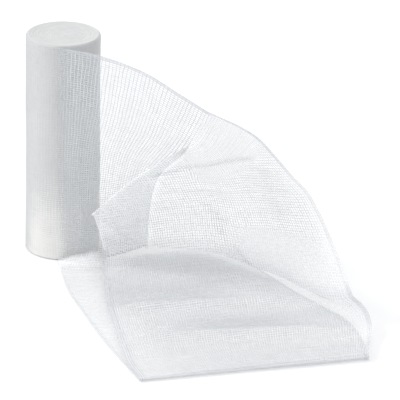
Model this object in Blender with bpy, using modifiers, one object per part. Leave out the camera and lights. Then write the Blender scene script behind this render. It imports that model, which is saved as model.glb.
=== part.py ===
"""A rolled gauze bandage standing on its end, with the loose end of the strip pulled off its front.

The object is one woven strip, 100 mm wide. Most of it is wound into a roll without a core. The rest
leaves the roll's front, passes to the right as an upright wall of cloth, is pleated near its lower edge,
falls forward to the surface, lies there, and turns under at a front fold to run back to the roll's foot.

Metres, +Z up, the origin at the centre of the roll's foot on the surface. +X is to the right and -Y is
towards the viewer.
"""

import math

import bmesh
import bpy
import numpy as np

MM = 0.001

# The roll
ROLL_RADIUS = 16.0 * MM
ROLL_HEIGHT = 100.0 * MM  # the width of the bandage
RIM_ROUND = 1.3 * MM  # the soft rounding of the roll's two rims
END_DISH = 0.9 * MM  # how far the middle of each end face lies in
ROLL_SIDES = 72

# The strip
CLOTH = 1.0 * MM  # thickness of the loose cloth as a solid
CLEAR = 0.3 * MM  # gap between the loose cloth and the roll
PLEAT_TURN = 0.7 * MM  # radius of the turns in the pleat
PLEAT_LEAST = 1.0 * MM  # length left of the pleat's middle layer at its apex
FRONT_TURN = (0.8 * MM, 1.5 * MM)  # radius of the front fold at its left and its right end
LYING = 0.5 * CLOTH  # height of the middle of the cloth that lies on the surface

# Rows run across the strip: 0 is the selvedge at the roll's foot, 1 the one at its top. The row where the
# pleat runs out lies higher on the roll's side of it than on the falling side, because the cloth is pulled
# askew there.
ROWS = 29
APEX = 0.5  # the row where the pleat runs out, as a share of the rows
APEX_ON_ROLL_SIDE = 0.75  # the same row's share of the strip's width on the roll's side
PLEAT_FADE = 0.24  # how far past its apex the pleat is still a ridge, as a share of the rows

# Columns along the strip, section by section
ON_ROLL, BACK_FAN, TURN, MIDDLE, WALL, FLOOR, FRONT, TAIL = 4, 12, 4, 5, 17, 14, 6, 13

# The cloth leaves the roll along this line, from its foot to its top (degrees round the roll)
WRAP_START = -150.0
LEAVES_AT = (-98.0, -116.0)

# Lower selvedge of the first part, from the roll to the pleat's back crease
FOOT_EDGE = (
    # share, x, y, z (mm)
    (0.00, -2.3, -16.7, 0.6),
    (0.18, 4.5, -17.6, 0.6),
    (0.38, 12.0, -17.4, 0.7),
    (0.58, 20.0, -14.8, 1.0),
    (0.80, 29.5, -9.2, 1.6),
    (1.00, 37.0, -4.2, 2.4),
)

# Upper selvedge, from the roll to the seam above the pleat
TOP_EDGE = (
    # share, x, y, z (mm)
    (0.00, -7.4, -15.1, 100.0),
    (0.33, 17.0, -26.5, 100.0),
    (0.62, 38.0, -37.0, 95.6),
    (0.80, 51.0, -43.6, 89.7),
    (1.00, 63.0, -49.6, 84.2),
)

# Back crease of the pleat, from the lower selvedge up past the apex to the upper selvedge
BACK_CREASE = (
    # across on the roll's side, x, y, z (mm)
    (0.00, 37.0, -4.2, 2.4),
    (0.22, 37.6, -12.2, 21.4),
    (0.50, 42.4, -26.3, 45.6),
    (0.75, 54.0, -40.0, 62.8),
    (1.00, 63.0, -49.6, 84.2),
)

# Front crease of the pleat, from its free corner towards the apex
FRONT_CREASE = (
    # across on the roll's side, x, y, z (mm)
    (0.00, 14.4, -22.6, 23.9),
    (0.40, 32.3, -31.6, 44.8),
    (0.75, 52.0, -42.2, 63.6),
)

# Upper selvedge after the pleat: an arch down to the surface
ARCH = (
    # share, x, y, z (mm)
    (0.00, 63.0, -49.6, 84.2),
    (0.12, 73.2, -54.6, 81.3),
    (0.22, 81.4, -58.6, 77.6),
    (0.34, 90.0, -61.8, 69.7),
    (0.47, 98.6, -64.4, 61.0),
    (0.54, 103.5, -65.8, 56.6),
    (0.68, 110.7, -67.4, 45.4),
    (0.84, 118.2, -70.8, 30.7),
    (0.95, 123.8, -76.0, 18.3),
    (1.00, 126.7, -79.0, 12.0),
)

# Lower selvedge after the pleat, from the free corner down to the surface
DROP_EDGE = (
    # share, x, y, z (mm)
    (0.00, 14.4, -22.6, 23.9),
    (0.50, 16.8, -22.8, 16.0),
    (1.00, 18.7, -23.0, 8.6),
)

# Where the falling wall meets the surface
WALL_FOOT = (
    # row share, x, y, z (mm)
    (0.00, 18.7, -23.0, 8.6),
    (0.12, 29.0, -14.0, 6.6),
    (0.25, 41.5, -8.8, 4.0),
    (0.38, 55.0, -6.6, 2.5),
    (0.50, 67.5, -9.4, 2.1),
    (0.62, 83.0, -23.6, 2.1),
    (0.74, 96.5, -35.6, 2.1),
    (0.84, 107.5, -50.0, 2.2),
    (0.93, 118.8, -65.5, 4.0),
    (1.00, 126.7, -79.0, 12.0),
)

# The lying part's two selvedges, from the wall's foot to the front fold
LYING_INNER = (
    # share, x, y (mm)
    (0.00, 18.7, -23.0),
    (0.20, 19.8, -48.0),
    (0.37, 21.4, -69.0),
    (0.50, 24.2, -86.0),
    (0.66, 27.5, -106.0),
    (0.84, 31.5, -128.0),
    (1.00, 36.9, -144.5),
)
LYING_OUTER = (
    # share, x, y (mm)
    (0.00, 126.7, -79.0),
    (0.16, 131.6, -84.2),
    (0.34, 133.9, -90.0),
    (0.66, 134.0, -103.0),
    (1.00, 132.2, -118.2),
)
FRONT_LEFT = (36.9, -144.5)
FRONT_RIGHT = (132.2, -118.2)

# The tail under the lying part, from the front fold back to its cut end at the roll's foot
TAIL_INNER = (
    # share, x, y (mm)
    (0.00, 36.9, -144.5),
    (0.15, 28.4, -124.0),
    (0.30, 21.0, -105.0),
    (0.49, 13.4, -81.5),
    (0.74, 4.0, -50.5),
    (0.89, 0.6, -32.0),
    (1.00, -1.6, -19.4),
)
TAIL_OUTER = (
    # share, x, y (mm)
    (0.00, 132.2, -118.2),
    (0.21, 129.0, -91.0),
    (0.33, 123.6, -76.5),
    (0.46, 113.5, -62.5),
    (0.59, 103.5, -49.0),
    (0.72, 94.0, -34.0),
    (0.86, 83.0, -15.5),
    (1.00, 77.0, 3.0),
)
CUT_END = (
    # row share, x, y, z (mm)
    (0.00, -1.6, -19.4, 1.4),
    (0.10, 4.6, -19.6, 4.0),
    (0.18, 10.2, -19.7, 5.2),
    (0.24, 14.4, -19.4, 6.6),
    (0.32, 20.0, -18.2, 3.0),
    (0.44, 30.0, -12.6, 0.5),
    (0.54, 40.0, -6.6, 0.5),
    (0.76, 60.0, -0.6, 0.5),
    (1.00, 77.0, 3.0, 0.5),
)

# Soft ripples of the lying part, parallel to its front: how far back, how high and how wide, in mm
RIPPLES = (
    # back at the left, back at the right, height, width
    (73.0, 62.0, 1.4, 5.0),
    (38.0, 26.0, 1.6, 6.0),
)


def along(table, at):
    """Points on a smooth curve through a table whose first column is the curve's own measure."""
    rows = np.array(table, float)
    knots, values = rows[:, 0], rows[:, 1:]
    slopes = np.gradient(values, knots, axis=0)
    at = np.clip(np.asarray(at, float), knots[0], knots[-1])
    k = np.clip(np.searchsorted(knots, at, side="right") - 1, 0, len(knots) - 2)
    step = (knots[k + 1] - knots[k])[:, None]
    f = ((at - knots[k]) / (knots[k + 1] - knots[k]))[:, None]
    return (
        (2 * f**3 - 3 * f**2 + 1) * values[k]
        + (f**3 - 2 * f**2 + f) * step * slopes[k]
        + (3 * f**2 - 2 * f**3) * values[k + 1]
        + (f**3 - f**2) * step * slopes[k + 1]
    )


def ease(a, b, x):
    """0 below a, 1 above b, and a smooth step between them."""
    f = np.clip((x - a) / (b - a), 0, 1)
    return f * f * (3 - 2 * f)


def patch(start, end, lower, upper, q, t):
    """The surface between four edge curves: columns by q from start to end, rows by t from lower to upper."""
    q, t = q[:, None, None], t[None, :, None]
    ruled = (1 - q) * start[None] + q * end[None]
    lower_ruled = (1 - q) * start[0] + q * end[0]
    upper_ruled = (1 - q) * start[-1] + q * end[-1]
    return ruled + (1 - t) * (lower[:, None] - lower_ruled) + t * (upper[:, None] - upper_ruled)


def unit(v):
    return v / np.linalg.norm(v, axis=-1, keepdims=True)


def turn_steps(start, angle, length, sideways, viewer):
    """Points round a turn of a given angle and length that begins along sideways and bends to the viewer."""
    angle = np.maximum(angle, 0.01)[:, None]
    for k in range(1, TURN + 1):
        part = angle * k / TURN
        radius = length / angle
        yield start + radius * (np.sin(part) * sideways + (1 - np.cos(part)) * viewer)


def back_steps(start, angle, length, sideways, viewer):
    """Points round the opposite turn, which begins at the angle and ends along sideways."""
    angle = np.maximum(angle, 0.01)[:, None]
    for k in range(1, TURN + 1):
        part = angle * (1 - k / TURN)
        radius = length / angle
        across = np.sin(angle) - np.sin(part)
        yield start + radius * (across * sideways + (np.cos(part) - np.cos(angle)) * viewer)


def in_front(points, behind, axes, gap):
    """The points moved towards the viewer where they would lie nearer than the gap to the cloth behind."""
    flat = behind.reshape(-1, 3) @ axes.T
    here = points.reshape(-1, 3) @ axes.T
    apart = np.linalg.norm(here[:, None, :2] - flat[None, :, :2], axis=2)
    weight = np.exp(-((apart / 1.2) ** 2)) + 1e-30
    level = (weight * flat[None, :, 2]).sum(1) / weight.sum(1)
    covered = np.exp(-((np.maximum(apart.min(1) - 1.5, 0) / 1.5) ** 2))
    short = level + gap - here[:, 2]
    push = covered * np.maximum(short, 0)
    return (points.reshape(-1, 3) + push[:, None] * axes[2]).reshape(points.shape)


def between(grid, count):
    """The grid with more columns, in straight steps between its own."""
    at = np.arange((len(grid) - 1) * count + 1) / count
    k = np.minimum(at.astype(int), len(grid) - 2)
    f = (at - k)[:, None, None]
    return (1 - f) * grid[k] + f * grid[k + 1]


def roll_side(w):
    """The strip's share of width on the roll's side of the pleat, for a share of the rows."""
    return np.interp(w, (0, APEX, 1), (0, APEX_ON_ROLL_SIDE, 1))


def fan_grid(q, w):
    """The first part: round the roll as its outermost turn, and on to the pleat's back crease."""
    t = roll_side(w)
    radius = (ROLL_RADIUS + CLEAR + 0.5 * CLOTH) / MM
    leaves = np.radians(LEAVES_AT[0] + (LEAVES_AT[1] - LEAVES_AT[0]) * t)
    height = 0.6 + (100.0 - 0.6) * t
    turns = []
    for share in np.linspace(0, 1, ON_ROLL, endpoint=False):
        angle = math.radians(WRAP_START) * (1 - share) + leaves * share
        turns.append(np.stack([radius * np.cos(angle), radius * np.sin(angle), height], 1))
    start = np.stack([radius * np.cos(leaves), radius * np.sin(leaves), height], 1)
    foot, top = along(FOOT_EDGE, q), along(TOP_EDGE, q)
    foot += (1 - q)[:, None] * (start[0] - foot[0])
    top += (1 - q)[:, None] * (start[-1] - top[0])
    return np.array(turns), patch(start, along(BACK_CREASE, t), foot, top, q, t)


def pleat_grid(fan, fine_fan, w):
    """The pleat: two opposite turns with a layer between them, which flatten out above the apex."""
    t = roll_side(w)
    back = fan[-1]
    front = along(FRONT_CREASE, np.minimum(t, APEX_ON_ROLL_SIDE))
    apex = int(round(APEX * (len(w) - 1)))
    outwards = unit(back[0] - front[0])
    viewer = unit(np.cross(outwards, back[apex] - back[0]))
    axes = np.array([outwards, np.cross(viewer, outwards), viewer])
    swing = ease(APEX, 1.0, w)[:, None]
    arch_start = unit(np.array(ARCH[1][1:]) - np.array(ARCH[0][1:]))
    sideways = unit((1 - swing) * unit(back - fan[-2]) + swing * arch_start)
    viewer = unit(viewer - (sideways @ viewer)[:, None] * sideways)
    angle = np.pi * (1 - ease(APEX, APEX + PLEAT_FADE, w))
    length = np.pi * PLEAT_TURN / MM
    rise = 2 * PLEAT_TURN / MM * viewer
    least = PLEAT_LEAST / MM

    first = list(turn_steps(back, angle, length, sideways, viewer))
    heading = np.cos(angle)[:, None] * sideways + np.sin(angle)[:, None] * viewer
    short_of_apex = first[-1][apex] + least * heading[apex] + rise[apex] - front[apex]
    front = front + ((w / APEX) ** 2)[:, None] * short_of_apex
    front = in_front(front, fine_fan, axes, 4 * PLEAT_TURN / MM)
    ends = np.where((w <= APEX)[:, None], front - rise, first[-1] + least * heading)
    steps = np.arange(1, MIDDLE + 1)[:, None, None] / MIDDLE
    middle = first[-1] + (ends - first[-1]) * steps
    middle = in_front(middle, fine_fan, axes, 2 * PLEAT_TURN / MM)
    last = list(back_steps(middle[-1], angle, length, sideways, viewer))
    return np.concatenate([first, middle, last]), axes


def strip_grid():
    """Middle surface of the loose cloth, in millimetres: columns along the strip, rows across it."""
    w = np.linspace(0, 1, ROWS)
    turns, fan = fan_grid(np.linspace(0, 1, BACK_FAN), w)
    fine_w = np.linspace(0, 1, 2 * ROWS - 1)
    fine_fan = fan_grid(np.linspace(0, 1, 5 * BACK_FAN), fine_w)[1]
    pleat, axes = pleat_grid(fan, fine_fan, w)
    seam = pleat[-1]
    under = between(pleat_grid(fine_fan, fine_fan, fine_w)[0][: TURN + MIDDLE], 5)

    # The falling wall, from the pleat's front crease to the surface
    wall_foot = along(WALL_FOOT, w)
    q = np.linspace(0, 1, WALL + 1)
    drop, arch = along(DROP_EDGE, q), along(ARCH, q)
    drop += (1 - q)[:, None] * (seam[0] - drop[0])
    arch += (1 - q)[:, None] * (seam[-1] - arch[0])
    wall = patch(seam, wall_foot, drop, arch, q, w)[1:]
    wall[:-1] = in_front(wall[:-1], fine_fan, axes, 4 * PLEAT_TURN / MM)
    wall[:-1] = in_front(wall[:-1], under, axes, 2 * PLEAT_TURN / MM)

    # The lying part, on top of the tail, as far as the front fold
    turn = (FRONT_TURN[0] + (FRONT_TURN[1] - FRONT_TURN[0]) * w) / MM
    front_line = np.array(FRONT_LEFT) * (1 - w)[:, None] + np.array(FRONT_RIGHT) * w[:, None]
    forward = np.array([front_line[-1][1] - front_line[0][1], front_line[0][0] - front_line[-1][0]])
    forward = forward / np.linalg.norm(forward)
    q = np.linspace(0, 1, FLOOR + 1)
    plan = patch(wall_foot[:, :2], front_line, along(LYING_INNER, q), along(LYING_OUTER, q), q, w)
    walked = np.cumsum(np.linalg.norm(np.diff(plan, axis=0), axis=2), axis=0)
    walked = np.concatenate([np.zeros((1, len(w))), walked])
    to_go = walked[-1] - walked
    level = 4 * LYING / MM
    reach = 6 + 10 * ease(0.8, 1.0, w)
    lift = (wall_foot[:, 2] - level) * np.exp(-((walked / reach) ** 1.4))
    swell = (2 * turn + LYING / MM - level) * np.exp(-((to_go / 14) ** 2))
    ripple = np.zeros_like(lift)
    for left, right, tall, wide in RIPPLES:
        back_by = left + (right - left) * w
        fade = ease(0.0, 0.15, w) * (1 - ease(0.72, 0.95, w))
        ripple += tall * fade * np.exp(-(((to_go - back_by) / wide) ** 2))
    z = level + lift + np.maximum(swell, 0) + ripple
    lying = np.concatenate([plan, z[..., None]], axis=2)[1:]

    # The front fold
    top_z = lying[-1][:, 2]
    radius = 0.5 * (top_z - LYING / MM)
    fold = []
    for k in range(1, FRONT + 1):
        alpha = math.pi * k / FRONT
        xy = front_line + (radius * math.sin(alpha))[:, None] * forward
        fold.append(np.concatenate([xy, (top_z - radius * (1 - math.cos(alpha)))[:, None]], axis=1))

    # The tail under it, back to the cut end
    cut = along(CUT_END, w)
    q = np.linspace(0, 1, TAIL + 1)
    plan = patch(front_line, cut[:, :2], along(TAIL_INNER, q), along(TAIL_OUTER, q), q, w)
    left_over = np.cumsum(np.linalg.norm(np.diff(plan[::-1], axis=0), axis=2), axis=0)
    left_over = np.concatenate([np.zeros((1, len(w))), left_over])[::-1]
    curl = np.maximum(cut[:, 2] - LYING / MM, 0)
    z = LYING / MM + curl * np.exp(-((left_over / 6) ** 1.4))
    tail = np.concatenate([plan, z[..., None]], axis=2)[1:]
    return np.concatenate([turns, fan, pleat, wall, lying, np.array(fold), tail])


def sheet_object(name, grid):
    """An open grid of faces through the points, given its thickness by Solidify."""
    n, m, _ = grid.shape
    mesh = bpy.data.meshes.new(name)
    index = np.arange(n * m).reshape(n, m)
    faces = np.stack([index[:-1, :-1], index[1:, :-1], index[1:, 1:], index[:-1, 1:]], axis=-1)
    mesh.from_pydata(grid.reshape(-1, 3).tolist(), [], faces.reshape(-1, 4).tolist())
    mesh.update()
    mesh.shade_smooth()
    obj = bpy.data.objects.new(name, mesh)
    solid = obj.modifiers.new("cloth_thickness", "SOLIDIFY")
    solid.thickness = CLOTH
    solid.offset = 0.0
    solid.use_even_offset = False
    return obj


def roll_object(name):
    """The wound roll: a half profile turned about the roll's axis, with soft rims and dished ends."""
    mesh = bpy.data.meshes.new(name)
    form = bmesh.new()
    points = [(0.0, ROLL_HEIGHT - END_DISH)]
    for share in (0.3, 0.6, 0.8):
        reach = share * (ROLL_RADIUS - RIM_ROUND)
        points.append((reach, ROLL_HEIGHT - END_DISH * (1 - share**2)))
    for k in range(6):
        a = math.pi / 2 * (1 - k / 5)
        points.append(
            (ROLL_RADIUS - RIM_ROUND * (1 - math.cos(a)), ROLL_HEIGHT - RIM_ROUND * (1 - math.sin(a)))
        )
    for share in (0.75, 0.5, 0.25):
        points.append((ROLL_RADIUS - 0.25 * MM, ROLL_HEIGHT * share))
    foot_round = 1.2 * MM
    for k in range(5):
        a = math.pi / 2 * k / 4
        points.append((ROLL_RADIUS - foot_round * (1 - math.cos(a)), foot_round * (1 - math.sin(a))))
    points.append((0.0, 0.0))
    verts = [form.verts.new((x, 0.0, z)) for x, z in points]
    for a, b in zip(verts, verts[1:]):
        form.edges.new((a, b))
    form.to_mesh(mesh)
    form.free()
    obj = bpy.data.objects.new(name, mesh)
    turned = obj.modifiers.new("wound_round", "SCREW")
    turned.steps = turned.render_steps = ROLL_SIDES
    turned.use_merge_vertices = True
    turned.merge_threshold = 0.00001
    turned.use_smooth_shade = True
    return obj


def cotton(name, colour, roughness):
    material = bpy.data.materials.new(name)
    material.use_nodes = True
    shader = material.node_tree.nodes["Principled BSDF"]
    shader.inputs["Base Color"].default_value = (*colour, 1.0)
    shader.inputs["Roughness"].default_value = roughness
    shader.inputs["Metallic"].default_value = 0.0
    return material


def main():
    for obj in list(bpy.data.objects):
        bpy.data.objects.remove(obj, do_unlink=True)
    collection = bpy.data.collections.new("gauze_bandage_roll")
    bpy.context.scene.collection.children.link(collection)

    roll = roll_object("roll")
    roll.data.materials.append(cotton("wound_gauze", (0.80, 0.81, 0.82), 0.95))
    collection.objects.link(roll)

    loose = sheet_object("loose_end", strip_grid() * MM)
    loose.data.materials.append(cotton("loose_gauze", (0.88, 0.89, 0.90), 0.95))
    collection.objects.link(loose)


main()
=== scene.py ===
# %% [markdown]
# # A gauze bandage roll, unrolled at its end
# The object is one strip of open cotton gauze. Most of it is wound into a roll that stands on its end, and
# the rest is drawn off the roll, pleated, and dropped on the table. We load the packed model first. It is
# the fixed frame: what we make has to stay where its solids are.

# %% Load the fixed frame
import math

import bmesh
import bpy
import numpy as np
from mathutils import Matrix, Vector


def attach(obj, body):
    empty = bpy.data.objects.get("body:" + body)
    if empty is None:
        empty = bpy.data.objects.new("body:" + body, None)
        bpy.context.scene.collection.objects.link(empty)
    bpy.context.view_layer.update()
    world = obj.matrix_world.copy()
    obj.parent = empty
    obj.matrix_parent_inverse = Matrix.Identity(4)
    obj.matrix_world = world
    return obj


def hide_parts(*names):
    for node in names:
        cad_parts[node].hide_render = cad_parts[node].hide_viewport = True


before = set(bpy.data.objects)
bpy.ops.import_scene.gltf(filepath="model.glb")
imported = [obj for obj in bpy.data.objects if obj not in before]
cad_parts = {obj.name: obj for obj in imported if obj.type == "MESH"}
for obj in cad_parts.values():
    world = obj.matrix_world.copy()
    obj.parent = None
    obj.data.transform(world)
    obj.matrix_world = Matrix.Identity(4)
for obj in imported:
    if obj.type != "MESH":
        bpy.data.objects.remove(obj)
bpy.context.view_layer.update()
MM = 0.001

# %% [markdown]
# ## The camera
# A small object on a white table is usually taken with a long lens from far away, so that upright edges
# stay nearly parallel. We could place the camera by eye, but its numbers come from the roll's rims and foot.

# %% Camera
ELEVATION, TILT = 22.03, 0.926  # degrees above the table, and round the line of sight
DISTANCE = 2.0  # metres
TARGET = Vector((0.06064, -0.040, 0.03934))
FOCAL_LENGTH, FILM_WIDTH = 416.5, 36.0  # mm

high, tilt = math.radians(ELEVATION), math.radians(TILT)
back = Vector((0, -math.cos(high), math.sin(high)))
level = Vector((1, 0, 0))
upright = level.cross(-back)
right = math.cos(tilt) * level + math.sin(tilt) * upright
up = math.cos(tilt) * upright - math.sin(tilt) * level
lens = bpy.data.cameras.new("studio_lens")
lens.lens, lens.sensor_width = FOCAL_LENGTH, FILM_WIDTH
lens.clip_start, lens.clip_end = 0.05, 20.0
camera = bpy.data.objects.new("studio_camera", lens)
facing = Matrix((right, up, back)).transposed().to_4x4()
camera.matrix_world = Matrix.Translation(TARGET + DISTANCE * back) @ facing
bpy.context.scene.collection.objects.link(camera)
bpy.context.scene.camera = camera
print("camera at", [round(v, 3) for v in camera.matrix_world.translation])

# %% [markdown]
# ## The table and the light
# The cloth is seen against a bright ground that shines through its holes, so the table and the surroundings
# are almost white. One broad lamp stands behind and to the left. It leaves the roll's right side in shade
# and throws the soft shadow of the roll and of the hanging cloth on the layers that lie in front; shade
# painted into the colours deepens both.

# %% Table and surroundings
TABLE_REACH = 6.0  # metres from its middle to each side
ROOM_COLOUR, ROOM_STRENGTH = (0.985, 0.99, 1.0, 1), 0.98

scene = bpy.context.scene
scene.view_settings.view_transform = "Standard"
table_mesh = bpy.data.meshes.new("table")
table_corners = [(x * TABLE_REACH, y * TABLE_REACH, 0) for x, y in ((-1, -1), (1, -1), (1, 1), (-1, 1))]
table_mesh.from_pydata(table_corners, [], [(0, 1, 2, 3)])
table = bpy.data.objects.new("table", table_mesh)
scene.collection.objects.link(table)
scene.world = bpy.data.worlds.new("white_room")
scene.world.use_nodes = True
sky = scene.world.node_tree.nodes["Background"]
sky.inputs["Color"].default_value = ROOM_COLOUR
sky.inputs["Strength"].default_value = ROOM_STRENGTH
print("table corners", table_corners)

# %% Lamps
LIT_PLACE = Vector((0.06, -0.06, 0.03))  # the middle of the object, which both lamps face


def lamp(name, place, size, watts, colour):
    """A square area lamp at a place in metres that faces the middle of the object."""
    data = bpy.data.lights.new(name, "AREA")
    data.size, data.energy, data.color = size, watts, colour
    thing = bpy.data.objects.new(name, data)
    thing.location = place
    thing.rotation_euler = (Vector(place) - LIT_PLACE).to_track_quat("Z", "Y").to_euler()
    scene.collection.objects.link(thing)


lamp("key", (-0.80, 0.16, 0.78), 0.30, 3.6, (1.0, 0.985, 0.96))
lamp("front_fill", (-0.7, -1.3, 0.7), 1.0, 1.6, (0.97, 0.985, 1.0))

# %% [markdown]
# ## Shader maths as Python
# A woven pattern is arithmetic: a yarn is where the distance to the nearest yarn line is small. Dragging a
# dozen Math nodes around hides that. One small class wraps a socket instead, so that an expression on
# sockets adds its own nodes, and one method adds every other node.


# %% A socket that calculates
def binary(operation, swapped=False):
    """A method that adds one Math node on a flow and another value, or on the two the other way round."""
    return lambda self, other: self.maths(operation, *((other, self) if swapped else (self, other)))


class Flow:
    """A shader socket with arithmetic. Each operator adds one Math node."""

    def __init__(self, tree, socket):
        self.tree, self.socket = tree, socket

    def node(self, kind, settings=None, out=0, **inputs):
        """Adds a node: its settings first, then its sockets by name, with underscores for spaces."""
        node = self.tree.nodes.new(kind)
        for key, value in (settings or {}).items():
            setattr(node, key, value)
        for key, value in inputs.items():
            socket = node.inputs[int(key[1:])] if key[1:].isdigit() else node.inputs[key.replace("_", " ")]
            if isinstance(value, Flow):
                self.tree.links.new(value.socket, socket)
            else:
                socket.default_value = value
        return Flow(self.tree, node.outputs[out])

    def maths(self, operation, *values):
        """One Math node on up to three values or flows."""
        sockets = {f"s{k}": value for k, value in enumerate(values)}
        return self.node("ShaderNodeMath", {"operation": operation}, **sockets)

    __add__ = __radd__ = binary("ADD")
    __mul__ = __rmul__ = binary("MULTIPLY")
    __sub__, __rsub__, __truediv__ = binary("SUBTRACT"), binary("SUBTRACT", swapped=True), binary("DIVIDE")
    over, under = binary("MAXIMUM"), binary("MINIMUM")  # the larger and the smaller of two

    def step(self, low, high, start=0.0, end=1.0):
        """A smooth step from start to end while the value goes from low to high."""
        names = {"Value": self, "From_Min": low, "From_Max": high, "To_Min": start, "To_Max": end}
        return self.node("ShaderNodeMapRange", {"interpolation_type": "SMOOTHSTEP"}, **names)

    def tint(self, *stops):
        """A colour for the value, from stops of a place and a colour."""
        tinted = self.node("ShaderNodeValToRGB", Fac=self)
        elements = tinted.socket.node.color_ramp.elements
        while len(elements) < len(stops):
            elements.new(0.5)
        for element, (place, colour) in zip(elements, stops):
            element.position, element.color = place, (*colour, 1)
        return tinted


print("methods of Flow", [name for name, thing in vars(Flow).items() if callable(thing)])

# %% [markdown]
# ## What a finish reads and feeds
# A finish reads the place in the cloth from a UV map in millimetres and some values that the mesh keeps for
# its points, and feeds a few sockets of the Principled node. We could copy those nodes from one material to
# the next, but a few helpers keep the finishes down to what differs.

# %% Helpers for a finish
UV_MAP = "cloth_mm"
SHEEN = 0.15  # cotton hardly shines


def finish_of(name, sheen=SHEEN):
    """A new material: its own Principled node, and a flow to start from."""
    material = bpy.data.materials.new(name)
    material.use_nodes = True
    tree = material.node_tree
    skin = tree.nodes["Principled BSDF"]
    skin.inputs["Specular IOR Level"].default_value = sheen
    return material, skin, Flow(tree, None)


def cloth_place(start):
    """The place in the cloth in mm: across the strip, and along it."""
    where = start.node("ShaderNodeUVMap", {"uv_map": UV_MAP})
    return [start.node("ShaderNodeSeparateXYZ", out=axis, Vector=where) for axis in ("X", "Y")]


def stored(start, name):
    """A value that the mesh keeps for each of its points."""
    return start.node("ShaderNodeAttribute", {"attribute_name": name}, out="Fac")


def feed(skin, **flows):
    """Links flows to the Principled node's sockets, by name, with underscores for spaces."""
    for key, flow in flows.items():
        flow.tree.links.new(flow.socket, skin.inputs[key.replace("_", " ")])


def noise(x, y, detail=1.0):
    """Soft random values about 0.5, which change once or so while x or y changes by 1."""
    point = x.node("ShaderNodeCombineXYZ", X=x, Y=y)
    return x.node("ShaderNodeTexNoise", {"noise_dimensions": "2D"}, Vector=point, Scale=1.0, Detail=detail)


print("finishes read the UV map", UV_MAP)

# %% [markdown]
# ## The weave
# Gauze is a plain weave that is nearly all holes. Measured on the picture, the yarns along the strip are
# about 1.0 mm apart and the ones across it about 1.4 mm. We could model each yarn, which is 370 tubes, or
# let the shader cut the holes out of a sheet. The sheet is lighter and its yarns can be as uneven as we
# like, so the shader decides for each point whether it lies on a yarn.

# %% Yarns as a function of place in the cloth
STRIP_WIDTH = 100.0  # mm, from selvedge to selvedge
LENGTHWISE, CROSSWISE = 0.98, 1.4  # distance between yarns in mm
DRIFT, SHIVER = 1.1, 0.34  # how far a yarn strays over several meshes, and from one mesh to the next, in mm
SLUB = 0.45  # how strongly slubs change a yarn's half width, as a share of its width
YARN_EDGE, YARN_FLUFF = 0.16, 0.07  # width of a yarn's soft edge, and how much of it is outside, in mm


def yarns(across, along_it, pitch, width, seed):
    """The height of one set of yarns from 0 in the holes to 1 on a yarn's crown.

    across is the place at right angles to the yarns and along_it the one along them. The yarns drift by soft
    noise, and each yarn, told by its whole number, is thicker or thinner than the next. The height is a
    smooth step of half a yarn's width less the distance to the yarn's middle."""
    drift = (noise(across * 0.09 + seed, along_it * 0.06, 2.0) - 0.5) * DRIFT
    shiver = (noise(across * 0.9, along_it * 0.35 + seed) - 0.5) * SHIVER
    position = (across + drift + shiver) / pitch
    number = position.maths("FLOOR", position)
    share = position.maths("FRACT", position)
    off = share.maths("ABSOLUTE", share - 0.5) * pitch
    slub = noise(number * 7.31 + seed, along_it * 0.12) - 0.5
    half = 0.5 * width + slub * (SLUB * width)
    return (half + YARN_FLUFF - off).step(0.0, YARN_EDGE)


def weave(u, v, width, seed=0.0):
    """The heights of the warps, which run along the strip, and of the wefts, which run across it."""
    return yarns(u, v, LENGTHWISE, width, 3.7 + seed), yarns(v, u, CROSSWISE, width * 1.02, 11.9 + seed)


print("warps", round(STRIP_WIDTH / LENGTHWISE), "wefts in 100 mm", round(100 / CROSSWISE))

# %% [markdown]
# ## The open gauze
# A single layer shows its holes, a haze of loose fibres in them, and a selvedge of finer yarns set close.
# Near the cut end the last wefts have come out and only warps stand there. All of that is one number per
# point, the alpha. The colour is the other half, and it is painted light and shade: cloth over cloth looks
# whiter than cloth over a far ground, and greyer in shade, so it follows a value that we work out for the
# mesh.

# %% The open gauze finish
OPEN_YARN, SELVEDGE_YARN = 0.32, 0.30  # widths of yarns in mm
SELVEDGE_PITCH, SELVEDGE_FROM, SELVEDGE_FULL = 0.5, 2.1, 1.3  # mm, the last two from the edge
LAST_WEFT, LAST_FIBRE = (1.6, 2.2), (0.6, 2.0)  # mm from the cut end, where each begins and is full
YARN_COVER = 0.86  # alpha on a yarn
# Ramp ends: grey for a single layer in painted shade, white for layers in full light
SHADED_COTTON, WHITE_COTTON = (0.59, 0.61, 0.64), (0.955, 0.965, 0.975)


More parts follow.
